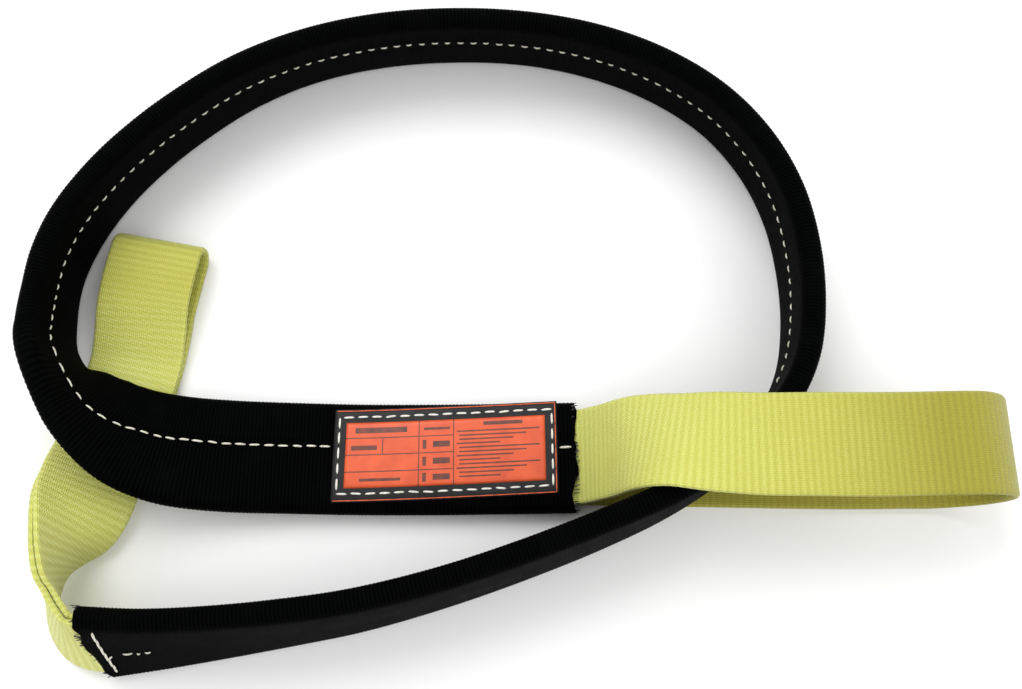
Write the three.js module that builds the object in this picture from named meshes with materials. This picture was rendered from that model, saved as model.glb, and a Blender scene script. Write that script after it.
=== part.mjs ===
// A two-ply eye-and-eye webbing sling with a wrapped wear sleeve, lying in a loop with its
// sleeve threaded through its own right eye. Millimetres, +Z up, on the plane z = 0.
//
// Every soft piece is a strip. It is drawn straight, as (across, through, along), and then
// laid on a run: a row of frames that says where the strip goes and how far it leans.

import * as THREE from 'three';

// ---------------------------------------------------------------- driving dimensions

const WEB_WIDTH = 50.8;          // 2 in webbing
const WEB_PLY = 3.2;             // thickness of one ply
const PLY_GAP = 0.3;             // between the two plies of the body
const CLEARANCE = 0.3;           // between pieces that touch

const THREAD = 0.5;              // height of the sewing thread on the web
const THREAD_WIDTH = 1.0;

const SLEEVE_WIDTH = 59;         // folded flat, between the middles of its side folds
const SLEEVE_SHEET = 1.0;
const SLEEVE_GAP = 0.2;          // between the sewing thread and the sleeve
const SLEEVE_UNDERLAP = 5;       // inner edge of the wrap, across the sleeve
const SLEEVE_RAW_EDGE = -10;     // outer edge of the wrap, across the sleeve
const SLEEVE_SEAM = -7;          // line of the seam, across the sleeve
const SEAM_THREAD = 0.9;

const LABEL_LENGTH = 120;
const LABEL_WIDTH = 50;
const LABEL_SHEET = 0.9;
const LABEL_START = 9;           // along the sleeve from its right end
const LABEL_FACE_LENGTH = 107;
const LABEL_FACE_WIDTH = 35;
const LABEL_STITCH_LENGTH = 115;
const LABEL_STITCH_WIDTH = 40;

const LEG_TUCK = 8;              // how far each eye's legs reach into the sleeve
const SPLICE_START = 14;         // the bar stitch of each eye splice, from the sleeve's end
const SPLICE_END = 72;
const SPLICE_WIDTH = 3;
const ROW_OFFSET = 17;           // body stitch rows, across from the middle
const ROW_START = 78;            // from the sleeve's ends
const BUTT = 560;                // where the web's two cut ends meet, from the sleeve's right end

const TACK_INSET = 4;            // from the sleeve's left end to its seam and tack
const TACK_LENGTH = 14;
const TACK_MARGIN = 1.5;         // the right end's tack, from the sleeve's end and the label

const RIGHT_HINGE = 178;         // x where the right eye's bearing end bends
const LEFT_HINGE = -14;          // y where the left eye's bearing end bends

const CENTRE_SHIFT = [-2.3, -3.6];  // x and y, to put the origin below the middle of the whole

// Spacing of the cross sections: a new one at this distance, bend or twist.
const MAX_STEP = 26;
const MAX_BEND = 13;             // degrees
const MAX_TWIST = 5;             // degrees
const TURN_STEPS = 12;           // round a bearing end
const FOLD_STEPS = 4;            // round each side fold of the sleeve

// ---------------------------------------------------------------- colours

const COLOURS = {
  web: { color: 0xcfc93f, roughness: 0.7 },
  thread: { color: 0xe6e4da, roughness: 0.6 },
  sleeve: { color: 0x0b0c0d, roughness: 0.85 },
  backing: { color: 0x2a2826, roughness: 0.6 },
  face: { color: 0xe85f2a, roughness: 0.5 },
};

// ---------------------------------------------------------------- where the strips run

// Middle of the body, from the sleeve's right end to its left end: x, y, z, lean in degrees.
// 0 lies flat with the seam up, and 90 stands on edge with the seam facing into the loop.
const BODY_STATIONS = [
  [34, -65, 7, 0], [0, -65.5, 6.6, 0], [-40, -66, 6.6, 0], [-80, -66, 6.8, 0],
  [-118, -65.5, 9, 0], [-150, -65, 13, 0], [-176, -63, 17.5, 7], [-195, -58.5, 23, 22],
  [-210, -50.5, 29.5, 41], [-223.5, -39, 35, 60], [-235.5, -24, 38.2, 79], [-244.5, -7, 34.2, 89],
  [-247.5, 13, 30.6, 92], [-246, 34, 30.2, 93], [-239.5, 55, 30, 93], [-228, 76, 30, 94],
  [-211, 98, 30, 95], [-186, 122, 30, 96], [-153, 146, 30, 97], [-116, 163, 30, 98],
  [-76, 173, 30, 98], [-34, 176.5, 30, 98], [8, 174.5, 30, 98], [48, 166, 30, 97],
  [84, 151, 30, 96], [114, 130, 30, 95], [136, 103, 30, 93], [150, 72, 30, 91],
  [156, 39, 30.1, 90], [156, 7, 31, 90], [150, -22, 33, 90], [136, -47, 33.8, 90],
  [113, -70, 33.8, 91], [84, -89, 33.8, 93], [48, -105.5, 31.5, 95], [8, -121, 30.2, 96],
  [-34, -135, 30, 97], [-76, -146, 30, 99], [-114, -152.5, 29.8, 102], [-148, -157, 29.3, 106],
  [-178, -160, 28.6, 111], [-207, -161.5, 27.4, 118],
];

// The right eye's legs, outwards from the end of the sleeve, in the same form.
const RIGHT_UPPER = [
  [48, -64.5, 25, -5], [62, -63.5, 46, -12], [78, -64, 60.5, -18], [98, -66, 66.3, -10],
  [124, -67.5, 67.4, -4], [152, -67.5, 66.6, -1], [178, -67.5, 65.6, 0], [202, -67, 65.2, 0],
  [222, -66.5, 65, 0],
];
const RIGHT_LOWER = [
  [50, -65, 2.4, 0], [68, -65, 1.6, 0], [92, -65.5, 1.6, 0], [120, -66, 1.6, 0],
  [150, -66.5, 1.6, 0], [178, -66.8, 1.6, 0], [202, -66.6, 1.6, 0], [222, -66.5, 1.6, 0],
];

// Midway between the left eye's legs: x, y, z, lean, and half the distance between the legs.
const LEFT_MIDDLE = [
  [-219.5, -158.5, 26.8, 117, 1.75], [-227.5, -148, 27.2, 115, 1.75], [-231.5, -134.5, 27.6, 107, 1.75],
  [-230.5, -121, 28, 89, 1.75], [-226.5, -107, 26.2, 63, 1.75], [-223.5, -92, 21, 38, 1.75],
  [-221.5, -76, 14, 21, 1.75], [-219.5, -60, 7, 7, 1.75], [-217, -44, 3.8, 1, 1.8],
  [-211.3, -28, 3.6, 0, 1.8], [-207.5, -12, 3.9, 0, 2.1], [-205.2, 4, 6, 0, 4.4],
  [-203.7, 20, 8.2, 0, 6.6], [-201.2, 35, 9.2, 0, 7.6], [-198.6, 49, 9.4, 0, 7.8],
];

// ---------------------------------------------------------------- runs of frames

const UP = new THREE.Vector3(0, 0, 1);
const SAMPLES = 12;              // frames between two stations

const catmullRom = (a, b, c, d, t) =>
  0.5 * (2 * b + (c - a) * t + (2 * a - 5 * b + 4 * c - d) * t ** 2 + (3 * b - a - 3 * c + d) * t ** 3);

const degreesBetween = (a, b) => THREE.MathUtils.radToDeg(a.angleTo(b));

/** A frame: point, direction along the strip, across it, and out through it. */
function makeFrame(point, along, across, half = 0) {
  const through = new THREE.Vector3().crossVectors(along, across).normalize();
  return { point, along, across: new THREE.Vector3().crossVectors(through, along), through, half };
}

/** Frames along a list of stations, closely spaced. `before` is the station ahead of the first. */
function framesOf(stations, before) {
  const first = before ?? stations[0].map((value, i) => 2 * value - stations[1][i]);
  const last = stations.at(-1).map((value, i) => 2 * value - stations.at(-2)[i]);
  const row = [first, ...stations, last];
  const values = [];
  for (let k = 1; k < row.length - 2; k++) {
    for (let j = 0; j < SAMPLES; j++) {
      const [before, here, next, beyond] = row.slice(k - 1, k + 3);
      values.push(here.map((b, i) => catmullRom(before[i], b, next[i], beyond[i], j / SAMPLES)));
    }
  }
  values.push(stations.at(-1));
  const points = values.map(([x, y, z]) => new THREE.Vector3(x, y, z));
  return points.map((point, k) => {
    const back = points[Math.max(k - 1, 0)];
    const ahead = points[Math.min(k + 1, points.length - 1)];
    const along = new THREE.Vector3().subVectors(ahead, back).normalize();
    const left = new THREE.Vector3().crossVectors(UP, along).normalize();
    const rise = new THREE.Vector3().crossVectors(along, left);
    const lean = THREE.MathUtils.degToRad(values[k][3]);
    const across = left.multiplyScalar(Math.cos(lean)).addScaledVector(rise, Math.sin(lean));
    return makeFrame(point, along, across, values[k][4]);
  });
}

/** The same strip with only the frames that its bends and twists need. */
function thinned(frames) {
  const kept = [frames[0]];
  frames.slice(1, -1).forEach((frame) => {
    const last = kept.at(-1);
    const far = frame.point.distanceTo(last.point) >= MAX_STEP;
    const bent = degreesBetween(frame.along, last.along) >= MAX_BEND;
    const twisted = degreesBetween(frame.across, last.across) >= MAX_TWIST;
    if (far || bent || twisted) kept.push(frame);
  });
  return [...kept, frames.at(-1)];
}

/** A run measures its frames, and turns (across, through, along) into a place. */
class Run {
  constructor(frames) {
    this.frames = frames;
    this.marks = [0];
    for (let k = 1; k < frames.length; k++) {
      this.marks.push(this.marks[k - 1] + frames[k].point.distanceTo(frames[k - 1].point));
    }
    this.length = this.marks.at(-1);
  }

  at(distance) {
    const last = this.marks.length - 2;
    let k = 0;
    while (k < last && this.marks[k + 1] < distance) k++;
    const t = (distance - this.marks[k]) / (this.marks[k + 1] - this.marks[k]);
    const [a, b] = [this.frames[k], this.frames[k + 1]];
    const point = new THREE.Vector3().lerpVectors(a.point, b.point, t);
    const along = new THREE.Vector3().lerpVectors(a.along, b.along, t).normalize();
    return makeFrame(point, along, new THREE.Vector3().lerpVectors(a.across, b.across, t));
  }

  place(across, through, distance) {
    const frame = this.at(distance);
    return frame.point.clone().addScaledVector(frame.across, across).addScaledVector(frame.through, through);
  }

  /** Every distance where a strip from start to end has a cross section. */
  sections(start, end) {
    const inner = this.marks.filter((mark) => mark > start + 1 && mark < end - 1);
    return [start, ...inner, end];
  }

  /** The distance where a coordinate first passes a value, going out or coming back. */
  crossing(axis, value, comingBack) {
    const side = this.frames.map((frame) => frame.point[axis] > value);
    const k = comingBack ? side.lastIndexOf(true) : side.indexOf(true) - 1;
    const [a, b] = [this.frames[k].point[axis], this.frames[k + 1].point[axis]];
    return this.marks[k] + (value - a) / (b - a) * (this.marks[k + 1] - this.marks[k]);
  }
}

const body = new Run(thinned(framesOf(BODY_STATIONS)));

const LEG_OFFSET = (WEB_PLY + PLY_GAP) / 2;

/** The body's frame at a distance, moved through the strip, and turned round for the right eye. */
function bodyFrame(distance, through, sign) {
  const { point, along, across, through: out } = body.at(distance);
  const moved = point.clone().addScaledVector(out, through);
  return makeFrame(moved, along.clone().multiplyScalar(sign), across.clone().multiplyScalar(sign), LEG_OFFSET);
}

const stationOf = ({ point, half }, lean) => [point.x, point.y, point.z, lean, half];

/** One leg: the end tucked in the sleeve, then its stations. */
function legFrames(tucks, sign, through, lean, stations) {
  const [inside, end] = tucks.map((distance) => bodyFrame(distance, through, sign));
  const before = bodyFrame(tucks[0] - (tucks[1] - tucks[0]), through, sign);
  const outside = framesOf([stationOf(end, lean), ...stations], stationOf(before, lean)).slice(1);
  return [inside, ...thinned([end, ...outside])];
}

const shifted = (frame, through) => makeFrame(
  frame.point.clone().addScaledVector(frame.through, through), frame.along, frame.across);

/** An eye: out along its upper leg, round the bearing end, and back along its lower leg. */
function eyeRun(upper, lower) {
  const [top, bottom] = [upper.at(-1), lower.at(-1)];
  const centre = new THREE.Vector3().lerpVectors(top.point, bottom.point, 0.5);
  const arm = new THREE.Vector3().subVectors(top.point, centre);
  const reach = top.along.clone().multiplyScalar(arm.length());
  const turn = [];
  for (let k = 1; k < TURN_STEPS; k++) {
    const angle = Math.PI * k / TURN_STEPS;
    const point = centre.clone().addScaledVector(arm, Math.cos(angle)).addScaledVector(reach, Math.sin(angle));
    const along = reach.clone().multiplyScalar(Math.cos(angle)).addScaledVector(arm, -Math.sin(angle));
    turn.push(makeFrame(point, along.normalize(), top.across));
  }
  const back = lower.toReversed().map(({ point, along, across }) =>
    makeFrame(point, along.clone().negate(), across));
  return new Run([...upper, ...turn, ...back]);
}

const rightEye = eyeRun(
  legFrames([LEG_TUCK, 0], -1, LEG_OFFSET, 0, RIGHT_UPPER),
  legFrames([LEG_TUCK, 0], -1, -LEG_OFFSET, 0, RIGHT_LOWER));

const LAST_LEAN = BODY_STATIONS.at(-1)[3];
const leftMiddle = legFrames([body.length - LEG_TUCK, body.length], 1, 0, LAST_LEAN, LEFT_MIDDLE);
const leftEye = eyeRun(
  leftMiddle.map((frame) => shifted(frame, frame.half)),
  leftMiddle.map((frame) => shifted(frame, -frame.half)));

// ---------------------------------------------------------------- laying pieces on a run

/**
 * A closed solid: an outline of [across, through] points, counterclockwise, laid from start to end.
 * Faces are cut along one diagonal, so that nested pieces keep their gap. A strip that comes back
 * beside another one is `returning`, and cut along the other.
 */
function lay(run, outline, start, end, returning = false) {
  const sections = run.sections(start, end);
  const count = outline.length;
  const last = (sections.length - 1) * count;
  const positions = sections.flatMap((distance) =>
    outline.flatMap(([across, through]) => run.place(across, through, distance).toArray()));
  const index = [];
  const flat = outline.map(([across, through]) => new THREE.Vector2(across, through));
  THREE.ShapeUtils.triangulateShape(flat, []).forEach(([a, b, c]) => {
    index.push(a, c, b, last + a, last + b, last + c);
  });
  for (let row = 0; row < last; row += count) {
    for (let i = 0; i < count; i++) {
      const j = (i + 1) % count;
      const [p, q, r, s] = [row + i, row + j, row + count + j, row + count + i];
      const rising = outline[j][0] > outline[i][0];
      if (rising !== returning) index.push(p, q, r, p, r, s);
      else index.push(p, q, s, q, r, s);
    }
  }
  const geometry = new THREE.BufferGeometry();
  geometry.setAttribute('position', new THREE.Float32BufferAttribute(positions, 3));
  geometry.setIndex(index);
  geometry.computeVertexNormals();
  return geometry;
}

/** A flat piece: a shape of (distance, across), from one height through the strip to another. */
function layShape(run, shape, low, high) {
  const geometry = new THREE.ExtrudeGeometry(shape, { depth: 1, steps: 1, bevelEnabled: false });
  const position = geometry.getAttribute('position');
  for (let i = 0; i < position.count; i++) {
    const through = position.getZ(i) > 0.5 ? high : low;
    const place = run.place(position.getY(i), through, position.getX(i));
    position.setXYZ(i, place.x, place.y, place.z);
  }
  geometry.computeVertexNormals();
  return geometry;
}

/** A rectangle of (distance, across), with a corner wherever the run has a cross section. */
function rectangle(run, start, end, low, high) {
  const sections = run.sections(start, end);
  const near = sections.map((distance) => new THREE.Vector2(distance, low));
  const far = sections.toReversed().map((distance) => new THREE.Vector2(distance, high));
  return new THREE.Shape([...near, ...far]);
}

// ---------------------------------------------------------------- cross sections

const HALF_WEB = WEB_WIDTH / 2;

/** A flat strip's outline between two heights, with points at the lines that every strip shares. */
function stripOutline(low, high) {
  const lines = [-HALF_WEB, -ROW_OFFSET, 0, ROW_OFFSET, HALF_WEB];
  return [...lines.map((across) => [across, low]), ...lines.toReversed().map((across) => [across, high])];
}

/** A rectangle's outline, `width` wide about a line. */
const patch = (width, low, high, across = 0) => {
  const [left, right] = [across - width / 2, across + width / 2];
  return [[left, low], [right, low], [right, high], [left, high]];
};

const PLY_FACE = PLY_GAP / 2 + WEB_PLY;                    // outer face of each ply
const ROW_LOW = PLY_FACE + CLEARANCE;
const ROW_HIGH = ROW_LOW + THREAD;
const SHEET_INNER = ROW_HIGH + SLEEVE_GAP + SLEEVE_SHEET / 2;
const SHEET_OUTER = SHEET_INNER + SLEEVE_SHEET + CLEARANCE;
const SLEEVE_FACE = SHEET_OUTER + SLEEVE_SHEET / 2;
const SLEEVE_BACK = -SHEET_INNER - SLEEVE_SHEET / 2;

/** Points of a half circle in the sleeve's section, both ends left out. */
function foldPoints(across, through, radius, from, sweep) {
  const points = [];
  for (let k = 1; k < FOLD_STEPS; k++) {
    const angle = from + sweep * k / FOLD_STEPS;
    points.push([across + radius * Math.cos(angle), through + radius * Math.sin(angle)]);
  }
  return points;
}

/** The sleeve's sheet, wrapped once round the web with its edges overlapping. */
function sleeveOutline() {
  const nearFold = -SLEEVE_WIDTH / 2 + SHEET_INNER;
  const outerRadius = (SHEET_OUTER + SHEET_INNER) / 2;
  const farFold = SLEEVE_WIDTH / 2 - outerRadius;
  const middle = [
    [SLEEVE_UNDERLAP, SHEET_INNER], [0, SHEET_INNER], [-ROW_OFFSET, SHEET_INNER], [nearFold, SHEET_INNER],
    ...foldPoints(nearFold, 0, SHEET_INNER, Math.PI / 2, Math.PI),
    [nearFold, -SHEET_INNER], [-ROW_OFFSET, -SHEET_INNER], [0, -SHEET_INNER], [ROW_OFFSET, -SHEET_INNER],
    [farFold, -SHEET_INNER],
    ...foldPoints(farFold, (SHEET_OUTER - SHEET_INNER) / 2, outerRadius, -Math.PI / 2, Math.PI),
    [farFold, SHEET_OUTER], [ROW_OFFSET, SHEET_OUTER], [0, SHEET_OUTER], [SLEEVE_RAW_EDGE, SHEET_OUTER],
  ];
  const offset = (side) => middle.map(([across, through], k) => {
    const [a, b] = [middle[Math.max(k - 1, 0)], middle[Math.min(k + 1, middle.length - 1)]];
    const length = Math.hypot(b[0] - a[0], b[1] - a[1]);
    const move = side * SLEEVE_SHEET / 2 / length;
    return [across + (b[1] - a[1]) * move, through - (b[0] - a[0]) * move];
  });
  return [...offset(1), ...offset(-1).toReversed()];
}

// ---------------------------------------------------------------- the pieces

const sling = new THREE.Group();

function add(name, colour, geometry) {
  const mesh = new THREE.Mesh(geometry, new THREE.MeshStandardMaterial({ ...COLOURS[colour], metalness: 0 }));
  mesh.name = name;
  sling.add(mesh);
}

/** An eye's legs, and the bearing end beyond the place where it bends. */
function addEye(side, run, axis, hinge) {
  const outline = stripOutline(-WEB_PLY / 2, WEB_PLY / 2);
  const gap = CLEARANCE / 2;
  const out = run.crossing(axis, hinge, false);
  const back = run.crossing(axis, hinge, true);
  add(`${side}_eye_upper_leg`, 'web', lay(run, outline, 0, out - gap));
  add(`${side}_eye_bearing_end`, 'web', lay(run, outline, out + gap, back - gap));
  add(`${side}_eye_lower_leg`, 'web', lay(run, outline, back + gap, run.length, true));
}

/** The bar of stitches through both plies where an eye's web joins the body, on one face. */
function addSplice(side, face, start, end) {
  const [low, high] = face === 'front' ? [ROW_LOW, ROW_HIGH] : [-ROW_HIGH, -ROW_LOW];
  add(`${side}_eye_splice_stitching_${face}`, 'thread', lay(body, patch(SPLICE_WIDTH, low, high), start, end));
}

function addBody() {
  const [near, far] = [LEG_TUCK + 2 * CLEARANCE, body.length - LEG_TUCK - 2 * CLEARANCE];
  const [inner, outer] = [PLY_GAP / 2, PLY_FACE];
  add('front_ply_body', 'web', lay(body, stripOutline(inner, outer), near, far));
  add('back_ply_body_right', 'web', lay(body, stripOutline(-outer, -inner), near, BUTT - CLEARANCE));
  add('back_ply_body_left', 'web', lay(body, stripOutline(-outer, -inner), BUTT + CLEARANCE, far));
  [-ROW_OFFSET, ROW_OFFSET].forEach((across, k) => {
    const [start, end] = [ROW_START, body.length - ROW_START];
    const front = patch(THREAD_WIDTH, ROW_LOW, ROW_HIGH, across);
    const back = patch(THREAD_WIDTH, -ROW_HIGH, -ROW_LOW, across);
    add(`body_stitch_row_front_${k + 1}`, 'thread', lay(body, front, start, end));
    add(`body_stitch_row_back_${k + 1}`, 'thread', lay(body, back, start, end));
  });
  ['front', 'back'].forEach((face) => {
    addSplice('right', face, SPLICE_START, SPLICE_END);
    addSplice('left', face, body.length - SPLICE_END, body.length - SPLICE_START);
  });
}

function addSleeve() {
  add('wear_sleeve', 'sleeve', lay(body, sleeveOutline(), 0, body.length));
  const low = SLEEVE_FACE + CLEARANCE;
  const seamStart = LABEL_START + LABEL_LENGTH + CLEARANCE;
  add('sleeve_seam_thread', 'thread',
    lay(body, patch(THREAD_WIDTH, low, low + SEAM_THREAD, SLEEVE_SEAM), seamStart, body.length - TACK_INSET));
  const [tackStart, tackEnd] = [TACK_MARGIN, LABEL_START - TACK_MARGIN];
  const rightTack = rectangle(body, tackStart, tackEnd, SLEEVE_SEAM, SLEEVE_SEAM + THREAD_WIDTH);
  add('sleeve_tack_right', 'thread', layShape(body, rightTack, low, low + THREAD));
  const end = body.length - TACK_INSET;
  const leftTack = rectangle(body, end - TACK_LENGTH, end, -THREAD_WIDTH, THREAD_WIDTH);
  const under = SLEEVE_BACK - 2 * CLEARANCE;
  add('sleeve_tack_left', 'thread', layShape(body, leftTack, under - THREAD, under));
}

function addLabel() {
  const middle = LABEL_START + LABEL_LENGTH / 2;
  const span = (length) => [middle - length / 2, middle + length / 2];
  const low = SLEEVE_FACE + CLEARANCE;
  const top = low + LABEL_SHEET;
  add('label_backing', 'backing', lay(body, patch(LABEL_WIDTH, low, top), ...span(LABEL_LENGTH)));
  const face = patch(LABEL_FACE_WIDTH, top + CLEARANCE, top + CLEARANCE + THREAD);
  add('label_face', 'face', lay(body, face, ...span(LABEL_FACE_LENGTH)));
  const stitch = (name, width, across, start, end) => {
    const outline = patch(width, top + CLEARANCE, top + CLEARANCE + THREAD, across);
    add(`label_stitch_${name}`, 'thread', lay(body, outline, start, end));
  };
  const [start, end] = span(LABEL_STITCH_LENGTH);
  const [rowStart, rowEnd] = [start + THREAD_WIDTH + CLEARANCE, end - THREAD_WIDTH - CLEARANCE];
  const rowAcross = (LABEL_STITCH_WIDTH - THREAD_WIDTH) / 2;
  stitch('end_1', LABEL_STITCH_WIDTH, 0, start, start + THREAD_WIDTH);
  stitch('end_2', LABEL_STITCH_WIDTH, 0, end - THREAD_WIDTH, end);
  stitch('row_1', THREAD_WIDTH, -rowAcross, rowStart, rowEnd);
  stitch('row_2', THREAD_WIDTH, rowAcross, rowStart, rowEnd);
}

addEye('right', rightEye, 'x', RIGHT_HINGE);
addEye('left', leftEye, 'y', LEFT_HINGE);
addBody();
addSleeve();
addLabel();

sling.position.set(...CENTRE_SHIFT, 0);

export default sling;
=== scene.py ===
# A two-ply webbing sling in its black wear sleeve, laid in a loop through its own eye.
# Metres, +Z up. The strips are laid on the same runs as the CAD model's.

import math

import bpy
import numpy as np
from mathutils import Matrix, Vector


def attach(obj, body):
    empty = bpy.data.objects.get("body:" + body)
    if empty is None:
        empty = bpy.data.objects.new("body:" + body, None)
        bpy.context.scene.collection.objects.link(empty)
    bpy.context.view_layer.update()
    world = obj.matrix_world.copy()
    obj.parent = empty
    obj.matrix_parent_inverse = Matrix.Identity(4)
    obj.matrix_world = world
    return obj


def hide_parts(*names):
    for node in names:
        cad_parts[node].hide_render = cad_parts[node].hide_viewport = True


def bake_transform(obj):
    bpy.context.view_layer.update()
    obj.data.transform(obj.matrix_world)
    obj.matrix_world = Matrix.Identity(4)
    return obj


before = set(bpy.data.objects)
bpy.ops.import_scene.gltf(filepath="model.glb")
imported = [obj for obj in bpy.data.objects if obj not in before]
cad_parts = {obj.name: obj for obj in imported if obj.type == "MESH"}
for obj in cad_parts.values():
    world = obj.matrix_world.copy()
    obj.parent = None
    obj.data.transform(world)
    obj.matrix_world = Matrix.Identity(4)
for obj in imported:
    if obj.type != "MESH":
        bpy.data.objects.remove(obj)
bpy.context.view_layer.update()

MM = 0.001
ORIGIN_SHIFT = np.array([-2.3, -3.6, 0.0])     # from the layout of the runs to the frame, mm

# ---------------------------------------------------------------- camera

TILT = math.radians(15.08)                     # from straight down
CAMERA_HEIGHT = 570.0                          # mm
CAMERA_LENS = 37.0

camera_data = bpy.data.cameras.new("camera")
camera_data.lens = CAMERA_LENS
camera_data.sensor_width = 36.0
camera = bpy.data.objects.new("camera", camera_data)
camera_place = np.array([0.0, -CAMERA_HEIGHT * math.tan(TILT), CAMERA_HEIGHT]) + ORIGIN_SHIFT
camera.location = Vector(camera_place * MM)
camera.rotation_euler = (TILT, 0.0, 0.0)
bpy.context.scene.collection.objects.link(camera)
bpy.context.scene.camera = camera

# ---------------------------------------------------------------- sizes, in mm

WEB_WIDTH = 50.8
WEB_PLY = 3.2
LEG_OFFSET = 1.75                              # from the body's middle to each ply's middle
LEG_TUCK = 8.0
TURN_STEPS = 48

RIB_PITCH = 3.64                               # the web's cross ribs
RIB_SAMPLES = 4
RIB_HEIGHT = 0.16

SLEEVE_WIDTH = 59.0
SLEEVE_SHEET = 1.0
SHEET_INNER = 4.85                             # heights of the sheet's middle
SHEET_OUTER = 6.15
# The seam wanders across the sleeve: distances along the body, and where the seam is there.
SEAM_MARKS = [0.0, 130.0, 205.0, 235.0, 262.0, 300.0, 345.0, 420.0, 560.0, 760.0, 960.0, 1350.0]
SEAM_ACROSS = [-4.5, -5.5, -5.0, -1.0, 9.0, 13.0, 11.0, 8.5, 8.0, 7.0, 5.0, 4.0]
SEAM_TO_RAW_EDGE = 3.2
SEAM_TO_UNDERLAP = 11.0
SEAM_BURIED = 960.0                            # past here its stitches sink into the cloth
SLEEVE_RIB = 0.14
SLEEVE_STEP = 1.0
CRUMPLE_MIDDLE = 255                           # where the sleeve crumples as it turns on edge
CRUMPLE_SPREAD = 36
FRAY_COUNT = 60                                # loose ends at each cut end
FRAY_REACH = (0.6, 3.0)

LABEL_START = 9.0
LABEL_LENGTH = 120.0
LABEL_WIDTH = 50.0
LABEL_SEWN_LENGTH = 114.5
LABEL_SEWN_WIDTH = 41.0
EDGING_INSET = 2.0                             # the coloured line, both sides together
LABEL_SHIFT = -2.5                             # across, at the label's middle
LABEL_SKEW = 0.036                             # and its drift across for each mm along

# ---------------------------------------------------------------- runs

# Middle of the body, from the sleeve's right end to its left end: x, y, z, lean in degrees.
BODY_STATIONS = [
    [34, -65, 7, 0], [0, -65.5, 6.6, 0], [-40, -66, 6.6, 0], [-80, -66, 6.8, 0],
    [-118, -65.5, 9, 0], [-150, -65, 13, 0], [-176, -63, 17.5, 7], [-195, -58.5, 23, 22],
    [-210, -50.5, 29.5, 41], [-223.5, -39, 35, 60], [-235.5, -24, 38.2, 79], [-244.5, -7, 34.2, 89],
    [-247.5, 13, 30.6, 92], [-246, 34, 30.2, 93], [-239.5, 55, 30, 93], [-228, 76, 30, 94],
    [-211, 98, 30, 95], [-186, 122, 30, 96], [-153, 146, 30, 97], [-116, 163, 30, 98],
    [-76, 173, 30, 98], [-34, 176.5, 30, 98], [8, 174.5, 30, 98], [48, 166, 30, 97],
    [84, 151, 30, 96], [114, 130, 30, 95], [136, 103, 30, 93], [150, 72, 30, 91],
    [156, 39, 30.1, 90], [156, 7, 31, 90], [150, -22, 33, 90], [136, -47, 33.8, 90],
    [113, -70, 33.8, 91], [84, -89, 33.8, 93], [48, -105.5, 31.5, 95], [8, -121, 30.2, 96],
    [-34, -135, 30, 97], [-76, -146, 30, 99], [-114, -152.5, 29.8, 102], [-148, -157, 29.3, 106],
    [-178, -160, 28.6, 111], [-207, -161.5, 27.4, 118],
]

RIGHT_UPPER = [
    [48, -64.5, 25, -5], [62, -63.5, 46, -12], [78, -64, 60.5, -18], [98, -66, 66.3, -10],
    [124, -67.5, 67.4, -4], [152, -67.5, 66.6, -1], [178, -67.5, 65.6, 0], [202, -67, 65.2, 0],
    [222, -66.5, 65, 0],
]

RIGHT_LOWER = [
    [50, -65, 2.4, 0], [68, -65, 1.6, 0], [92, -65.5, 1.6, 0], [120, -66, 1.6, 0],
    [150, -66.5, 1.6, 0], [178, -66.8, 1.6, 0], [202, -66.6, 1.6, 0], [222, -66.5, 1.6, 0],
]

# Midway between the left eye's legs: x, y, z, lean, and half the distance between the legs.
LEFT_MIDDLE = [
    [-219.5, -158.5, 26.8, 117, 1.75], [-227.5, -148, 27.2, 115, 1.75], [-231.5, -134.5, 27.6, 107, 1.75],
    [-230.5, -121, 28, 89, 1.75], [-226.5, -107, 26.2, 63, 1.75], [-223.5, -92, 21, 38, 1.75],
    [-221.5, -76, 14, 21, 1.75], [-219.5, -60, 7, 7, 1.75], [-217, -44, 3.8, 1, 1.8],
    [-211.3, -28, 3.6, 0, 1.8], [-207.5, -12, 3.9, 0, 2.1], [-205.2, 4, 6, 0, 4.4],
    [-203.7, 20, 8.2, 0, 6.6], [-201.2, 35, 9.2, 0, 7.6], [-198.6, 49, 9.4, 0, 7.8],
]

SAMPLES = 12


def unit(vectors):
    return vectors / np.linalg.norm(vectors, axis=-1, keepdims=True)


def make_frames(points, along, across, half=None):
    through = unit(np.cross(along, across))
    count = len(points)
    return {
        "point": points, "along": along, "across": np.cross(through, along),
        "half": np.zeros(count) if half is None else half,
    }


def frames_of(stations, before=None):
    """Frames along a list of stations, closely spaced, as the CAD model lays them."""
    rows = np.array(stations, float)
    first = 2 * rows[0] - rows[1] if before is None else np.array(before, float)
    rows = np.vstack([first, rows, 2 * rows[-1] - rows[-2]])
    values = []
    for a, b, c, d in zip(rows, rows[1:], rows[2:], rows[3:]):
        for t in np.arange(SAMPLES) / SAMPLES:
            values.append(0.5 * (2 * b + (c - a) * t + (2 * a - 5 * b + 4 * c - d) * t ** 2
                                 + (3 * b - a - 3 * c + d) * t ** 3))
    values.append(rows[-2])
    values = np.array(values)
    points = values[:, :3]
    ahead = np.vstack([points[1:], points[-1:]])
    back = np.vstack([points[:1], points[:-1]])
    along = unit(ahead - back)
    left = unit(np.cross([0.0, 0.0, 1.0], along))
    rise = np.cross(along, left)
    lean = np.radians(values[:, 3:4])
    half = values[:, 4] if values.shape[1] > 4 else None
    return make_frames(points, along, left * np.cos(lean) + rise * np.sin(lean), half)


def joined(*parts):
    return {key: np.concatenate([part[key] for part in parts]) for key in parts[0]}


def cut(frames, first):
    return {key: value[first:] for key, value in frames.items()}


def turned_back(frames):
    point, along, across = frames["point"][::-1], -frames["along"][::-1], frames["across"][::-1]
    return make_frames(point, along, across)


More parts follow.
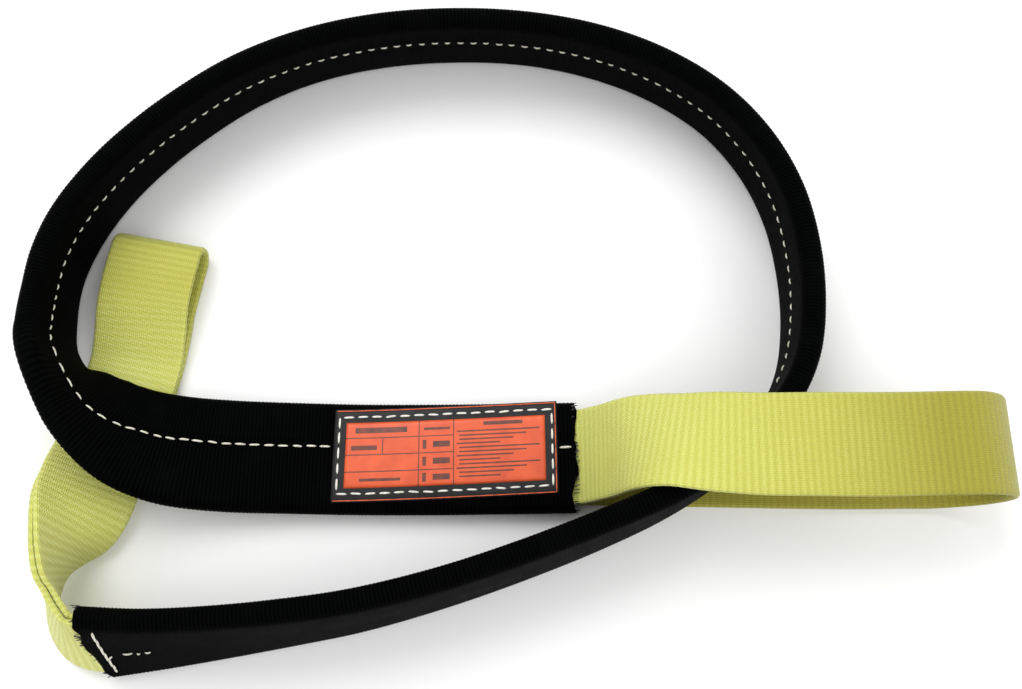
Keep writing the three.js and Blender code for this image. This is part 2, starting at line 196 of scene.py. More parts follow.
def moved_through(frames, through):
    out = np.cross(frames["along"], frames["across"])
    points = frames["point"] + out * np.reshape(through, (-1, 1))
    return make_frames(points, frames["along"], frames["across"], frames["half"])


class Run:
    """A row of frames, measured along its middle."""

    def __init__(self, frames):
        self.frames = frames
        steps = np.linalg.norm(np.diff(frames["point"], axis=0), axis=1)
        self.marks = np.concatenate([[0.0], np.cumsum(steps)])
        self.length = self.marks[-1]

    def read(self, key, distance):
        values = self.frames[key]
        return np.stack([np.interp(distance, self.marks, values[:, i]) for i in range(3)], axis=-1)

    def at(self, distance):
        distance = np.atleast_1d(np.asarray(distance, float))
        along = unit(self.read("along", distance))
        over = np.minimum(distance, 0.0) + np.maximum(distance - self.length, 0.0)
        point = self.read("point", distance) + along * over[:, None]
        return make_frames(point, along, self.read("across", distance))

    def place(self, across, through, distance):
        """Places in metres, in the frame, of arrays of the same shape."""
        across, through, distance = np.broadcast_arrays(across, through, distance)
        found = self.at(distance.ravel())
        out = np.cross(found["along"], found["across"])
        points = found["point"] + found["across"] * across.ravel()[:, None] + out * through.ravel()[:, None]
        return ((points + ORIGIN_SHIFT) * MM).reshape(across.shape + (3,))


body = Run(frames_of(BODY_STATIONS))


def body_frames(distances, through, sign):
    found = body.at(distances)
    out = np.cross(found["along"], found["across"])
    count = len(found["point"])
    half = np.full(count, LEG_OFFSET)
    return make_frames(found["point"] + out * through, sign * found["along"], sign * found["across"], half)


def leg_frames(tucks, sign, through, lean, stations):
    inside, end = tucks
    tucked = body_frames(np.linspace(inside, end, 5), through, sign)
    before = body_frames([inside - (end - inside)], through, sign)["point"][0]
    width = len(stations[0])
    first = [*tucked["point"][-1], lean, LEG_OFFSET][:width]
    ghost = [*before, lean, LEG_OFFSET][:width]
    free = cut(frames_of([first, *stations], ghost), 1)
    return joined(tucked, free)


def eye_run(upper, lower):
    """Out along the upper leg, round the bearing end, and back along the lower leg."""
    top, bottom = upper["point"][-1], lower["point"][-1]
    centre = (top + bottom) / 2
    arm = top - centre
    reach = upper["along"][-1] * np.linalg.norm(arm)
    angle = (np.pi * np.arange(1, TURN_STEPS) / TURN_STEPS)[:, None]
    points = centre + arm * np.cos(angle) + reach * np.sin(angle)
    along = unit(reach * np.cos(angle) - arm * np.sin(angle))
    turn = make_frames(points, along, np.tile(upper["across"][-1], (TURN_STEPS - 1, 1)))
    return Run(joined(upper, turn, turned_back(lower)))


right_eye = eye_run(
    leg_frames([LEG_TUCK, 0.0], -1, LEG_OFFSET, 0.0, RIGHT_UPPER),
    leg_frames([LEG_TUCK, 0.0], -1, -LEG_OFFSET, 0.0, RIGHT_LOWER))
left_middle = leg_frames([body.length - LEG_TUCK, body.length], 1, 0.0, BODY_STATIONS[-1][3], LEFT_MIDDLE)
left_eye = eye_run(
    moved_through(left_middle, left_middle["half"]),
    moved_through(left_middle, -left_middle["half"]))

# ---------------------------------------------------------------- meshes


def new_mesh(name, vertices, faces, material, uvs=None, smooth=True):
    """A mesh from arrays; uvs holds one pair, in metres, for each vertex."""
    mesh = bpy.data.meshes.new(name)
    corners = [tuple(v) for v in np.reshape(vertices, (-1, 3))]
    mesh.from_pydata(corners, [], [tuple(int(i) for i in f) for f in faces])
    if uvs is not None:
        layer = mesh.uv_layers.new(name="UVMap")
        loops = np.empty(len(mesh.loops), dtype=np.int32)
        mesh.loops.foreach_get("vertex_index", loops)
        layer.data.foreach_set("uv", np.reshape(uvs, (-1, 2))[loops].ravel())
    mesh.polygons.foreach_set("use_smooth", [smooth] * len(mesh.polygons))
    mesh.materials.append(material)
    mesh.validate()
    mesh.update()
    piece = bpy.data.objects.new(name, mesh)
    bpy.context.scene.collection.objects.link(piece)
    return piece


def grid_faces(rows, columns):
    """Side faces of a closed outline with `columns` points, laid on `rows` sections."""
    row, column = np.meshgrid(np.arange(rows - 1), np.arange(columns), indexing="ij")
    following = (column + 1) % columns
    a, b = row * columns + column, row * columns + following
    return np.stack([a, b, b + columns, a + columns], axis=-1).reshape(-1, 4)


def cap_faces(rows, columns):
    """End faces of a folded outline, whose second half runs back beside its first."""
    i = np.arange(columns // 2 - 1)
    near = np.stack([i, columns - 1 - i, columns - 2 - i, i + 1], axis=-1)
    last = (rows - 1) * columns
    return np.concatenate([near, near[:, ::-1] + last])


def lay(name, run, outline_across, outline_through, distances, material, v_coordinate, ends=None):
    """A closed strip. The arrays are (sections, points), or just (points)."""
    rows, columns = len(distances), np.shape(outline_across)[-1]
    across = np.broadcast_to(outline_across, (rows, columns))
    through = np.broadcast_to(outline_through, (rows, columns))
    distance = np.repeat(np.asarray(distances, float)[:, None], columns, axis=1)
    if ends is not None:
        distance = distance + ends
    vertices = run.place(across, through, distance)
    uvs = np.stack([distance * MM, np.broadcast_to(v_coordinate, (rows, columns)) * MM], axis=-1)
    faces = np.concatenate([grid_faces(rows, columns), cap_faces(rows, columns)])
    return new_mesh(name, vertices, faces, material, uvs)


def smooth_noise(seed, x, y, octaves=3):
    """Seeded soft noise about 0, from sums of sines in turned directions."""
    rng = np.random.default_rng(seed)
    total = np.zeros(np.broadcast(x, y).shape)
    for octave in range(octaves):
        for _ in range(4):
            angle, phase = rng.uniform(0, 2 * np.pi, 2)
            pitch = rng.uniform(0.7, 1.4) * 2 ** octave
            total += np.sin(pitch * (x * np.cos(angle) + y * np.sin(angle)) + phase) / 2 ** octave
    return total / 4.0


def rods(name, starts, ends, normals, width, height, material, sides=6, taper=0.35):
    """Many short rounded stitches in one mesh, each from a start to an end, arched along its normal."""
    vertices, faces = [], []
    profile = [(0.0, taper), (0.18, 1.0), (0.5, 1.08), (0.82, 1.0), (1.0, taper)]
    for start, end, normal in zip(starts, ends, normals):
        base = len(vertices)
        along = unit(end - start)
        side = unit(np.cross(normal, along))
        up = np.cross(along, side)
        for t, scale in profile:
            lift = height * 0.5 * math.sin(math.pi * t)
            centre = start + (end - start) * t + up * lift
            for k in range(sides):
                angle = 2 * math.pi * k / sides
                vertices.append(centre + (side * math.cos(angle) * width / 2
                                          + up * math.sin(angle) * height / 2) * scale)
        for ring in range(len(profile) - 1):
            for k in range(sides):
                a, b = base + ring * sides + k, base + ring * sides + (k + 1) % sides
                faces.append((a, b, b + sides, a + sides))
        faces.append(tuple(base + k for k in reversed(range(sides))))
        top = base + (len(profile) - 1) * sides
        faces.append(tuple(top + k for k in range(sides)))
    return new_mesh(name, np.array(vertices), faces, material)


# ---------------------------------------------------------------- materials


def new_material(name, roughness, base=(0.5, 0.5, 0.5)):
    material = bpy.data.materials.new(name)
    material.use_nodes = True
    shader = material.node_tree.nodes["Principled BSDF"]
    shader.inputs["Roughness"].default_value = roughness
    shader.inputs["Base Color"].default_value = (*base, 1.0)
    return material, material.node_tree, shader


def node(tree, kind, **values):
    made = tree.nodes.new(kind)
    for key, value in values.items():
        if hasattr(made, key):
            setattr(made, key, value)
        else:
            made.inputs[key].default_value = value
    return made


def link(tree, source, target):
    tree.links.new(source, target)


def maths(tree, operation, a, b=0.0):
    made = tree.nodes.new("ShaderNodeMath")
    made.operation = operation
    for socket, value in zip(made.inputs, (a, b)):
        if isinstance(value, (int, float)):
            socket.default_value = value
        else:
            tree.links.new(value, socket)
    return made.outputs[0]


def ramp(tree, factor, stops):
    made = tree.nodes.new("ShaderNodeValToRGB")
    elements = made.color_ramp.elements
    while len(elements) < len(stops):
        elements.new(0.5)
    for element, (position, colour) in zip(elements, stops):
        element.position = position
        element.color = (*colour, 1.0)
    tree.links.new(factor, made.inputs[0])
    return made.outputs["Color"]


def mix(tree, factor, a, b, blend="MIX"):
    made = tree.nodes.new("ShaderNodeMix")
    made.data_type = "RGBA"
    made.blend_type = blend
    for socket, value in zip((made.inputs[0], made.inputs[6], made.inputs[7]), (factor, a, b)):
        if isinstance(value, (int, float)):
            socket.default_value = value
        elif isinstance(value, tuple):
            socket.default_value = (*value, 1.0)
        else:
            tree.links.new(value, socket)
    return made.outputs[2]


def uv_parts(tree):
    """u along the strip and v across it, both in metres."""
    uv = tree.nodes.new("ShaderNodeUVMap")
    uv.uv_map = "UVMap"
    split = tree.nodes.new("ShaderNodeSeparateXYZ")
    tree.links.new(uv.outputs[0], split.inputs[0])
    return uv.outputs[0], split.outputs[0], split.outputs[1]


def wave(tree, value, pitch, phase=0.0):
    """A sine of 0 to 1 with a pitch in metres."""
    turned = maths(tree, "ADD", maths(tree, "MULTIPLY", value, 2 * math.pi / pitch), phase)
    return maths(tree, "ADD", maths(tree, "MULTIPLY", maths(tree, "SINE", turned), 0.5), 0.5)


def noise_value(tree, vector, scale, detail=3.0):
    made = node(tree, "ShaderNodeTexNoise", Scale=scale, Detail=detail)
    tree.links.new(vector, made.inputs["Vector"])
    return made.outputs[0]


def add_bump(tree, shader, height, distance, strength=1.0):
    bump = node(tree, "ShaderNodeBump", Distance=distance, Strength=strength)
    tree.links.new(height, bump.inputs["Height"])
    tree.links.new(bump.outputs[0], shader.inputs["Normal"])


def object_vector(tree):
    return tree.nodes.new("ShaderNodeTexCoord").outputs["Object"]


def web_material(name, shade_stops):
    """Woven yellow web. The stops it is given are painted shade colours to multiply by, at distances along the
    web in metres.
    """
    material, tree, shader = new_material(name, 0.62)
    uv, u, v = uv_parts(tree)
    rib = wave(tree, u, RIB_PITCH * MM)
    # Yarns run along the web, and every second one floats over every second rib.
    yarn = wave(tree, v, 1.1 * MM)
    offset = wave(tree, maths(tree, "ADD", u, maths(tree, "MULTIPLY", v, 1.4)), 1.82 * MM)
    pattern = maths(tree, "MULTIPLY", yarn, offset)
    stain = noise_value(tree, uv, 38.0, 4.0)
    fine = noise_value(tree, uv, 900.0, 2.0)
    # The weave's colour is partly its woven pattern and partly painted light: painted shade in the rib grooves
    # and between the yarns, and painted highlights on the raised yarns.
    weave_shade_and_highlight = maths(tree, "ADD", maths(tree, "MULTIPLY", rib, 0.35), maths(tree, "MULTIPLY", pattern, 0.65))
    colour = ramp(tree, weave_shade_and_highlight, [(0.0, (0.50, 0.48, 0.04)), (0.4, (0.64, 0.64, 0.10)),
                                (0.75, (0.80, 0.82, 0.30)), (1.0, (0.93, 0.94, 0.60))])
    colour = mix(tree, ramp(tree, stain, [(0.35, (0.0, 0.0, 0.0)), (0.75, (0.40, 0.40, 0.40))]),
                 colour, (0.58, 0.56, 0.06))
    colour = mix(tree, maths(tree, "MULTIPLY", fine, 0.25), colour, (0.88, 0.90, 0.46))
    # Painted shade along the web, multiplied into its colour.
    painted_shade = ramp(tree, u, shade_stops)
    colour = mix(tree, 1.0, colour, painted_shade, "MULTIPLY")
    link(tree, colour, shader.inputs["Base Color"])
    shader.inputs["Sheen Weight"].default_value = 0.25
    shader.inputs["Sheen Roughness"].default_value = 0.4
    add_bump(tree, shader, maths(tree, "ADD", pattern, maths(tree, "MULTIPLY", fine, 0.4)), 0.0005, 0.8)
    return material


def plain_web_material():
    """The same web without a map of its own, for the plies inside the sleeve."""
    material, tree, shader = new_material("web_inside", 0.65)
    place = object_vector(tree)
    colour = ramp(tree, noise_value(tree, place, 700.0), [(0.3, (0.36, 0.32, 0.02)), (0.7, (0.64, 0.61, 0.10))])
    link(tree, colour, shader.inputs["Base Color"])
    add_bump(tree, shader, noise_value(tree, place, 1200.0), 0.0004)
    return material


def sleeve_material():
    material, tree, shader = new_material("sleeve_nylon", 0.55)
    uv, u, v = uv_parts(tree)
    rib = wave(tree, u, 2.0 * MM)
    slanted = wave(tree, maths(tree, "ADD", u, maths(tree, "MULTIPLY", v, 0.35)), 0.9 * MM)
    fibre = wave(tree, v, 0.8 * MM)
    dust = noise_value(tree, uv, 55.0, 5.0)
    fine = noise_value(tree, uv, 1500.0, 2.0)
    colour = ramp(tree, rib, [(0.0, (0.0002, 0.0003, 0.0003)), (1.0, (0.0016, 0.0018, 0.0020))])
    colour = mix(tree, ramp(tree, dust, [(0.45, (0.0, 0.0, 0.0)), (0.8, (0.55, 0.55, 0.55))]),
                 colour, (0.0024, 0.0026, 0.0028))
    link(tree, colour, shader.inputs["Base Color"])
    rough = maths(tree, "ADD", maths(tree, "MULTIPLY", dust, 0.25), 0.42)
    link(tree, rough, shader.inputs["Roughness"])
    shader.inputs["Specular IOR Level"].default_value = 0.008
    height = maths(tree, "ADD", maths(tree, "MULTIPLY", rib, 0.6),
                   maths(tree, "ADD", maths(tree, "MULTIPLY", maths(tree, "MULTIPLY", fibre, slanted), 0.7),
                         maths(tree, "MULTIPLY", fine, 0.3)))
    add_bump(tree, shader, height, 0.0004, 0.9)
    return material


def thread_material(name, light, dark):
    material, tree, shader = new_material(name, 0.6)
    place = object_vector(tree)
    colour = ramp(tree, noise_value(tree, place, 900.0), [(0.3, dark), (0.65, light)])
    link(tree, colour, shader.inputs["Base Color"])
    shader.inputs["Sheen Weight"].default_value = 0.2
    add_bump(tree, shader, noise_value(tree, place, 2600.0, 1.0), 0.0003)
    return material


def backing_material():
    material, tree, shader = new_material("label_charcoal", 0.5)
    shader.inputs["Specular IOR Level"].default_value = 0.25
    uv, u, v = uv_parts(tree)
    grain = noise_value(tree, uv, 1300.0, 2.0)
    wear = noise_value(tree, uv, 60.0, 5.0)
    colour = ramp(tree, wear, [(0.35, (0.006, 0.006, 0.007)), (0.75, (0.017, 0.016, 0.017))])
    link(tree, colour, shader.inputs["Base Color"])
    add_bump(tree, shader, grain, 0.0002, 0.6)
    return material


FACE_LENGTH, FACE_WIDTH = 107.0, 35.0


def face_material():
    """An orange panel ruled with a black grid and generic dark bars in its boxes."""
    material, tree, shader = new_material("label_print", 0.42)
    uv, u, v = uv_parts(tree)

    def band(value, low, high):
        above = maths(tree, "GREATER_THAN", value, low * MM)
        return maths(tree, "MULTIPLY", above, maths(tree, "LESS_THAN", value, high * MM))

    def box(u_low, u_high, v_low, v_high):
        return maths(tree, "MULTIPLY", band(u, u_low, u_high), band(v, v_low, v_high))

    # Ruled lines, then bars where a label has its words.
    half, line = FACE_WIDTH / 2, 0.3
    columns = (39.5, 58.0)
    ink = box(columns[0] - line, columns[0] + line, -half, half)
    marks = [box(columns[1] - line, columns[1] + line, -half, half)]
    marks += [box(0, columns[1], height - line, height + line) for height in (-9.0, 0.0, 9.0)]
    marks.append(box(20 - line, 20 + line, 0, 9))
    for height in (-13.0, -4.5, 4.5):
        marks.append(box(47, 56, height - 1.6, height + 1.6))
        marks.append(box(41.5, 43.5, height - 2.4, height + 2.4))
    marks += [box(42, 56, 12.2, 13.6), box(5, 33, 11.6, 14.6), box(3, 17, 2.5, 5), box(8, 30, -14.2, -12.6)]
    marks.append(box(74, 95, 13.6, 15.6))
    for row in range(12):
        height = 10.8 - 2.2 * row
        marks.append(box(61 if row % 3 else 59.5, 104 - 7 * ((row * 5) % 4), height - 0.42, height + 0.42))
    for mark in marks:
        ink = maths(tree, "MAXIMUM", ink, mark)
    worn = noise_value(tree, uv, 260.0, 5.0)
    patchy = maths(tree, "MULTIPLY", ink, maths(tree, "ADD", maths(tree, "MULTIPLY", worn, 0.5), 0.6))
    patchy = maths(tree, "MINIMUM", patchy, 1.0)
    oranges = [(0.3, (0.56, 0.065, 0.013)), (0.7, (0.70, 0.095, 0.02))]
    orange = ramp(tree, noise_value(tree, uv, 90.0, 4.0), oranges)
    colour = mix(tree, patchy, orange, (0.03, 0.018, 0.014))
    link(tree, colour, shader.inputs["Base Color"])
    add_bump(tree, shader, noise_value(tree, uv, 1100.0, 2.0), 0.0001, 0.5)
    return material


# Painted shade: the web is darkened from pale yellow towards gold at its bends, where it turns away from the
# light, and along the right eye's lower leg, which lies in the upper leg's shade.
PALE = (0.97, 1.0, 1.0)
GOLD_SHADE = (0.75, 0.75, 0.50)
RIGHT_PAINTED_SHADE = [(0.0, PALE), (0.08, (0.90, 0.92, 0.80)), (0.15, (0.75, 0.75, 0.48)),
               (0.21, (0.50, 0.46, 0.12)), (0.53, (0.50, 0.46, 0.14))]
LEFT_PAINTED_SHADE = [(0.0, PALE), (0.17, PALE), (0.22, GOLD_SHADE), (0.28, GOLD_SHADE), (0.34, PALE)]
RIGHT_WEB = web_material("right_web_weave", RIGHT_PAINTED_SHADE)
LEFT_WEB = web_material("left_web_weave", LEFT_PAINTED_SHADE)
WEB_INSIDE = plain_web_material()
SLEEVE = sleeve_material()
THREAD = thread_material("sewing_thread", (0.80, 0.78, 0.68), (0.50, 0.47, 0.36))
LABEL_THREAD = thread_material("label_thread", (0.88, 0.87, 0.82), (0.60, 0.57, 0.50))
FRAY = thread_material("fray_thread", (0.016, 0.016, 0.018), (0.004, 0.004, 0.005))
BACKING = backing_material()
FACE = face_material()
TRIM = thread_material("label_edging", (0.80, 0.13, 0.03), (0.55, 0.07, 0.02))

# ---------------------------------------------------------------- the web's eyes


def web_outline():
    """Across and through for a web's section, with rounded selvages."""
    half, thick = WEB_WIDTH / 2, WEB_PLY / 2
    spread = np.linspace(-1, 1, 27)
    across = np.sin(spread * np.pi / 2 * 0.96) / math.sin(np.pi / 2 * 0.96) * 0.35 + spread * 0.65
    flat = across * half
    edge = np.clip((half - np.abs(flat)) / 1.6, 0, 1)
    through = thick * (0.45 + 0.55 * np.sqrt(1 - (1 - edge) ** 2))
    return np.concatenate([flat, flat[::-1]]), np.concatenate([-through, through[::-1]])


def web_eye(name, run, material, nodes):
    across, through = web_outline()
    count = int(round(run.length / RIB_PITCH * RIB_SAMPLES))
    distances = np.linspace(0, run.length, count + 1)
    phase = 2 * np.pi * distances / RIB_PITCH
    rib = RIB_HEIGHT * (np.abs(np.sin(phase / 2)) - 0.8)
    lift = np.sign(through)[None, :] * rib[:, None]
    waviness = 0.25 * smooth_noise(len(name), distances[:, None] / 12, np.sign(across)[None, :] * 3.0)
    wide = across[None, :] * (1 + waviness / WEB_WIDTH)
    v = np.concatenate([across[:27], across[:27][::-1] + 2.0])
    piece = lay(name, run, wide, through[None, :] + lift, distances, material, v[None, :])
    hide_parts(*nodes)
    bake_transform(piece)
    return piece


def eye_nodes(side):
    return [f"{side}_eye_{part}" for part in ("upper_leg", "bearing_end", "lower_leg")]


web_eye("right_eye_web", right_eye, RIGHT_WEB, eye_nodes("right"))
web_eye("left_eye_web", left_eye, LEFT_WEB, eye_nodes("left"))

# ---------------------------------------------------------------- the sleeve

FOLD_POINTS = 9
NEAR_FOLD = -SLEEVE_WIDTH / 2 + SHEET_INNER
FAR_RADIUS = (SHEET_OUTER + SHEET_INNER) / 2
FAR_FOLD = SLEEVE_WIDTH / 2 - FAR_RADIUS


def seam_across(distance):
    return np.interp(distance, SEAM_MARKS, SEAM_ACROSS)


def sleeve_middle(seam=SEAM_ACROSS[1]):
    """The middle of the wrapped sheet: across, through."""
    raw_edge, underlap = seam - SEAM_TO_RAW_EDGE, seam + SEAM_TO_UNDERLAP

    def line(start, end, count, through):
        return [(a, through) for a in np.linspace(start, end, count, endpoint=False)]

    def fold(across, through, radius, start):
        angles = start + np.linspace(0, np.pi, FOLD_POINTS, endpoint=False)
        return [(across + radius * math.cos(a), through + radius * math.sin(a)) for a in angles]

    points = line(underlap, NEAR_FOLD, 8, SHEET_INNER)
    points += fold(NEAR_FOLD, 0.0, SHEET_INNER, np.pi / 2)
    points += line(NEAR_FOLD, FAR_FOLD, 12, -SHEET_INNER)
    points += fold(FAR_FOLD, (SHEET_OUTER - SHEET_INNER) / 2, FAR_RADIUS, -np.pi / 2)
    points += line(FAR_FOLD, raw_edge, 9, SHEET_OUTER)
    points.append((raw_edge, SHEET_OUTER))
    return np.array(points)


SLEEVE_MIDDLE = sleeve_middle()
SHEET_STEPS = np.linalg.norm(np.diff(SLEEVE_MIDDLE, axis=0), axis=1)
SHEET_MARKS = np.concatenate([[0.0], np.cumsum(SHEET_STEPS)])


def swell(across, side, distance):
    """How far the sleeve stands off the web, in mm. side is +1 at the front and -1 at the back."""
    soft = 0.55 + 0.45 * smooth_noise(11, distance / 34, across / 15 + side * 9)
    belly = 1 - (across / 33) ** 2
    corner = np.exp(-((distance - CRUMPLE_MIDDLE) / CRUMPLE_SPREAD) ** 2)
    folds = 0.5 + 0.5 * smooth_noise(5, distance / 5.5, across / 13)
    crumple = corner * folds * np.clip(0.5 - across / 50, 0, 1)
    return np.clip(soft, 0, None) * belly * 0.9 + 1.6 * crumple


def make_sleeve():
    count = int(round(body.length / SLEEVE_STEP))
    distances = np.linspace(0, body.length, count + 1)[:, None]
    tangent = unit(np.gradient(SLEEVE_MIDDLE, axis=0))
    normal = np.stack([tangent[:, 1], -tangent[:, 0]], axis=-1)
    across = np.array([sleeve_middle(seam)[:, 0] for seam in seam_across(distances[:, 0])])
    through = SLEEVE_MIDDLE[:, 1][None, :]
    side = np.clip(through / 3, -1, 1)
    lifted = through + side * swell(across, np.sign(through), distances)
    rib = SLEEVE_RIB * np.where(np.arange(count + 1) % 2, 1.0, -1.0)[:, None]
    edges = []
    for sign in (1, -1):
        reach = sign * SLEEVE_SHEET / 2 + (rib if sign > 0 else 0.0)
        edges.append((across + normal[:, 0][None, :] * reach, lifted + normal[:, 1][None, :] * reach))
    wide = np.concatenate([edges[0][0] + 0 * distances, (edges[1][0] + 0 * distances)[:, ::-1]], axis=1)
    high = np.concatenate([edges[0][1] + 0 * distances, (edges[1][1] + 0 * distances)[:, ::-1]], axis=1)
    v = np.concatenate([SHEET_MARKS, SHEET_MARKS[::-1] + 0.4])
    # The cut ends are ragged.
    ragged = 1.9 * smooth_noise(21, v / 4.6, np.zeros_like(v), 4)
    near = np.exp(-distances / 6.0)
    far = np.exp(-(body.length - distances) / 6.0)
    ends = ragged[None, :] * near - ragged[None, ::-1] * far
    # The raw edge wanders along the flap.
    at_raw = np.exp(-np.abs(v - SHEET_MARKS[-1]) / 5.0)[None, :]
    wander = 0.8 * smooth_noise(31, distances / 17, np.zeros_like(distances))
    piece = lay("wear_sleeve_cloth", body, wide + at_raw * wander, high, distances[:, 0], SLEEVE,
                v[None, :], ends)
    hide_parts("wear_sleeve")
    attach(piece, "root")


def front_height(across, distance):
    """Height of the sleeve's front face above the body's middle."""
    return SHEET_OUTER + SLEEVE_SHEET / 2 + float(swell(np.array(across), 1.0, np.array(distance)))


def back_height(across, distance):
    return -SHEET_INNER - SLEEVE_SHEET / 2 - float(swell(np.array(across), -1.0, np.array(distance)))


def place_one(run, across, through, distance):
    return run.place(np.array([across]), np.array([through]), np.array([distance]))[0]


def normal_at(run, distance, sign=1):
    found = run.at([distance])
    return sign * np.cross(found["along"], found["across"])[0]


def stitches(name, path, side, width, height, material, replaced):
    """Stitches on the sleeve. path holds (across, distance) pairs for each stitch's two ends."""
    starts, ends, normals = [], [], []
    for (a0, d0), (a1, d1) in path:
        surface = front_height if side > 0 else back_height
        lift = side * 0.15
        starts.append(place_one(body, a0, surface(a0, d0) + lift, d0))
        ends.append(place_one(body, a1, surface(a1, d1) + lift, d1))
        normals.append(normal_at(body, (d0 + d1) / 2, side))
    piece = rods(name, starts, ends, normals, width * MM, height * MM, material)
    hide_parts(replaced)
    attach(piece, "root")


def make_seam():
    rng = np.random.default_rng(7)
    pitch = 7.5
    path = []
    distance = LABEL_START + LABEL_LENGTH + 2.0
    while distance < SEAM_BURIED:
        # The stitches pull shorter where the sleeve stands on its edge.
        stitch = np.interp(distance, [200, 330], [5.8, 3.9]) * rng.uniform(0.85, 1.06)
        start = float(seam_across(distance)) + rng.normal(0, 0.2)
        end = float(seam_across(distance + stitch)) + rng.normal(0, 0.2)
        path.append(((start, distance), (end, distance + stitch)))
        distance += pitch
    stitches("sleeve_seam_stitches", path, 1, 1.05, 0.75, THREAD, "sleeve_seam_thread")


def make_tacks():
    right = [((-4.6, 1.6), (-4.3, 8.0))]
    stitches("right_end_tack", right, 1, 1.2, 0.8, THREAD, "sleeve_tack_right")
    end = body.length
    # A bar of stitches down the back, a short tail each side, and the last of the seam's stitches.
    bar = [(23.0, 8.4), (15.0, 7.8), (8.0, 7.3), (1.0, 6.9), (-6.0, 6.6), (-13.0, 6.4), (-19.5, 6.2)]
    pairs = list(zip(bar, bar[1:]))
    cross = [((a0, end - d0), (a1, end - d1)) for (a0, d0), (a1, d1) in pairs]
    cross += [((a0 + 0.7, end - d0 - 0.6), (a1 - 1.0, end - d1 + 0.5)) for (a0, d0), (a1, d1) in pairs]
    cross += [((-2.0, end - 9.5), (-4.8, end - 6.6)), ((0.3, end - 15.5), (0.6, end - 20.5))]
    cross += [((0.2, end - 22.5), (-0.4, end - 24.0)), ((0.6, end - 26.5), (0.8, end - 29.5))]
    stitches("left_end_tack", cross, -1, 1.15, 0.8, THREAD, "sleeve_tack_left")


def make_fray(name, distance, outward):
    """Loose ends of the sleeve's cloth along a cut end."""
    rng = np.random.default_rng(40 + len(name))
    starts, ends, normals = [], [], []
    for _ in range(FRAY_COUNT):
        mark = rng.uniform(0, SHEET_MARKS[-1])
        across = np.interp(mark, SHEET_MARKS, SLEEVE_MIDDLE[:, 0])
        through = np.interp(mark, SHEET_MARKS, SLEEVE_MIDDLE[:, 1])
        through += np.sign(through) * 0.5
        reach = rng.uniform(*FRAY_REACH)
        drift = rng.normal(0, 1.1)
        starts.append(place_one(body, across, through, distance - outward * 1.0))
        ends.append(place_one(body, across + drift, through + rng.normal(0, 0.4), distance + outward * reach))
        normals.append(normal_at(body, min(max(distance, 0), body.length)))
    piece = rods(name, starts, ends, normals, 0.55 * MM, 0.45 * MM, FRAY, sides=5)
    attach(piece, "root")


make_sleeve()
make_seam()
make_tacks()
make_fray("sleeve_fray_right", 0.0, -1)
make_fray("sleeve_fray_left", body.length, 1)

# ---------------------------------------------------------------- the label

LABEL_HEIGHT = 8.1                             # underside of the label above the body's middle


def label_shift(from_middle):
    return LABEL_SHIFT + LABEL_SKEW * from_middle


def label_rise(across, from_middle):
    """The label's own shape above its plane: it sags to its sides, and ripples."""
    sag = -0.5 * (across / (LABEL_WIDTH / 2)) ** 2
    return sag + 0.25 * smooth_noise(3, -from_middle / 20, across / 18)


def sheet_patch(name, middle, length, width, low, thick, material, lift=0.0):
    """A thin rectangle with rounded edges on the sleeve's front; its v runs from -width/2 to width/2."""
    columns, rows = 25, 61
    spread = np.linspace(-width / 2, width / 2, columns)
    edge = np.sqrt(np.clip((width / 2 - np.abs(spread)) / 0.5, 0.02, 1))
    across = np.concatenate([spread, spread[::-1]])
    base = np.concatenate([np.zeros(columns), (thick * edge)[::-1]])
    u = np.linspace(-1, 1, rows)
    from_middle = u[:, None] * length / 2
    through = low + base[None, :] + label_rise(across[None, :], from_middle) + lift
    v = np.concatenate([-spread, -spread[::-1]])
    shifted = across[None, :] + label_shift(from_middle)
    piece = lay(name, body, shifted, through, middle + from_middle[:, 0], material, v[None, :])
    layer = piece.data.uv_layers["UVMap"].data
    uvs = np.empty(len(layer) * 2)
    layer.foreach_get("uv", uvs)
    uvs[0::2] = (middle + length / 2) * MM - uvs[0::2]
    layer.foreach_set("uv", uvs)
    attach(piece, "root")
    return piece


def label_rods(name, middle, corners, low, pitch, share, wander, width, height, material, taper):
    """Rods end to end along straight lines between corners of (across, from the middle)."""
    rng = np.random.default_rng(9)
    starts, ends, normals = [], [], []
    for (a0, d0), (a1, d1) in zip(corners, corners[1:]):
        count = int(math.hypot(a1 - a0, d1 - d0) / pitch)
        for k in range(count):
            pair = []
            for t in (k / count, (k + share) / count):
                across = a0 + (a1 - a0) * t + rng.normal(0, wander)
                along = d0 + (d1 - d0) * t
                high = low + float(label_rise(np.array(across), np.array(along)))
                pair.append(place_one(body, across + label_shift(along), high, middle + along))
            starts.append(pair[0])
            ends.append(pair[1])
            normals.append(normal_at(body, middle))
    piece = rods(name, starts, ends, normals, width * MM, height * MM, material, taper=taper)
    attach(piece, "root")
    return piece


def rectangle_corners(length, width):
    half_length, half_width = length / 2, width / 2
    return [(half_width, half_length), (half_width, -half_length), (-half_width, -half_length),
            (-half_width, half_length)]


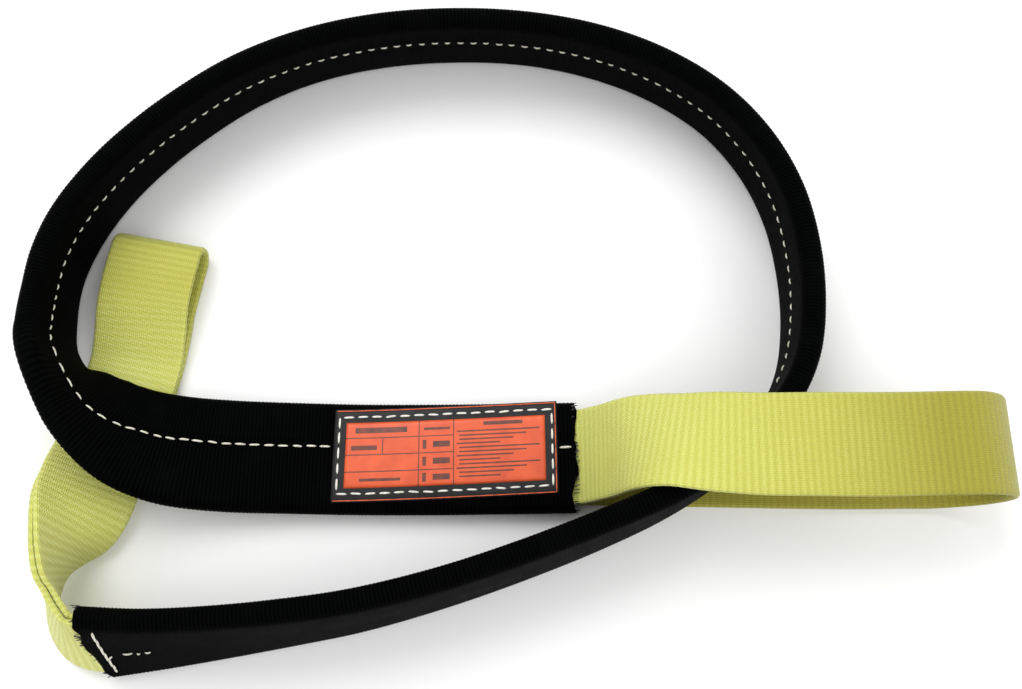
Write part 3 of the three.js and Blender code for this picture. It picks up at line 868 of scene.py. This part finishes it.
def make_label():
    middle = LABEL_START + LABEL_LENGTH / 2
    backing = sheet_patch("label_backing_cloth", middle, LABEL_LENGTH, LABEL_WIDTH, LABEL_HEIGHT, 0.9, BACKING)
    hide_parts("label_backing")
    face = sheet_patch("label_face_print", middle, FACE_LENGTH, FACE_WIDTH, LABEL_HEIGHT + 0.85, 0.35, FACE)
    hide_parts("label_face")
    ring = rectangle_corners(LABEL_SEWN_LENGTH, LABEL_SEWN_WIDTH)
    sewing = label_rods("label_stitches", middle, ring + ring[:1], LABEL_HEIGHT + 1.0, 7.2, 0.72,
                        0.18, 1.1, 0.7, LABEL_THREAD, 0.4)
    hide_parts("label_stitch_end_1", "label_stitch_end_2", "label_stitch_row_1", "label_stitch_row_2")
    # A thin coloured line along three of the label's sides.
    edging = rectangle_corners(LABEL_LENGTH - EDGING_INSET, LABEL_WIDTH - EDGING_INSET)
    trim = label_rods("label_edging", middle, edging, LABEL_HEIGHT + 0.82, 10.0, 1.0, 0.0, 0.55, 0.3, TRIM, 0.9)


make_label()

# ---------------------------------------------------------------- carried-over CAD nodes

HIDDEN_WEB = ["front_ply_body", "back_ply_body_right", "back_ply_body_left"]


def finish_node(name, material):
    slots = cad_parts[name].material_slots
    for slot in slots:
        slot.material = material


for name in HIDDEN_WEB:
    finish_node(name, WEB_INSIDE)
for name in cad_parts:
    if name.startswith("body_stitch_row") or "splice_stitching" in name:
        finish_node(name, THREAD)

# ---------------------------------------------------------------- floor, light and finish


FLOOR_HALF_SIZE = 4.0                          # metres
FLOOR_DROP = 0.0004                            # below the lowest cloth


def make_floor():
    size, level = FLOOR_HALF_SIZE, -FLOOR_DROP
    vertices = [(-size, -size, level), (size, -size, level), (size, size, level), (-size, size, level)]
    material, tree, shader = new_material("pale_floor", 0.9, (0.90, 0.90, 0.90))
    shader.inputs["Specular IOR Level"].default_value = 0.1
    floor = new_mesh("floor", np.array(vertices), [(0, 1, 2, 3)], material, smooth=False)


def area_light(name, place, target, size, power):
    data = bpy.data.lights.new(name, "AREA")
    data.shape = "DISK"
    data.size = size
    data.energy = power
    light = bpy.data.objects.new(name, data)
    light.location = Vector(place)
    light.rotation_euler = (Vector(target) - Vector(place)).to_track_quat("-Z", "Y").to_euler()
    bpy.context.scene.collection.objects.link(light)


make_floor()
area_light("key", (-0.5, 0.9, 1.5), (0, 0, 0), 1.2, 16.0)
area_light("fill", (0.9, -0.6, 1.3), (0, 0, 0), 1.4, 5.0)
world = bpy.data.worlds.new("studio")
world.use_nodes = True
world.node_tree.nodes["Background"].inputs["Color"].default_value = (1.0, 1.0, 1.0, 1.0)
world.node_tree.nodes["Background"].inputs["Strength"].default_value = 1.0
bpy.context.scene.world = world
bpy.context.scene.view_settings.view_transform = "Standard"
